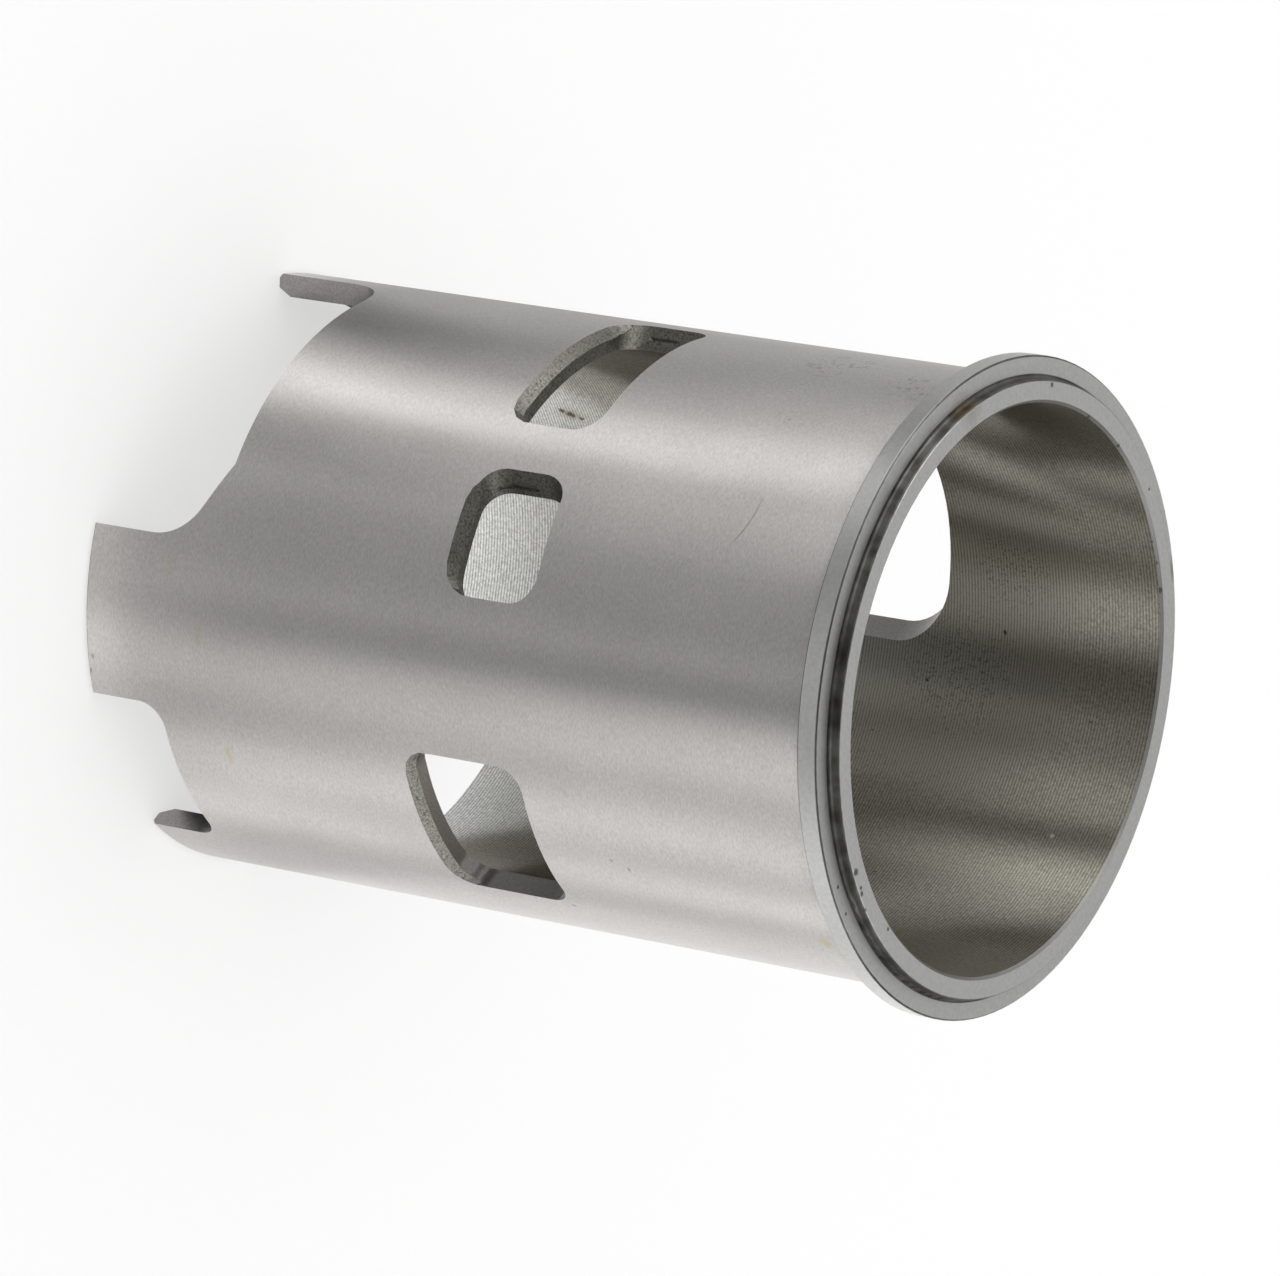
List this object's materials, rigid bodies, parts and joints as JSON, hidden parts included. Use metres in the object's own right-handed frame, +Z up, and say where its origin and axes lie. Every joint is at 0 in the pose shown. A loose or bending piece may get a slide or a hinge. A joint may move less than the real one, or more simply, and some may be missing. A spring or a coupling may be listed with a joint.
{
  "type": "ported cylinder liner",
  "caption": "Ported two-stroke cylinder liner: thin turned sleeve with a seat flange and gasket spigot, milled exhaust, transfer and boost ports and a cut-away skirt.",
  "frame": {"origin": "centre of the skirt end, on the bore axis", "axes": "+Z up the bore axis to the flange, +Y towards the exhaust port, -Y towards the boost port; symmetrical about the YZ plane"},
  "size_m": [0.0742, 0.0742, 0.1028],
  "materials": {
    "liner_iron": "ground outside, fine-bored inside"
  },
  "bodies": {
    "root": {"cylinder_liner": "liner_iron"}
  },
  "joints": []
}
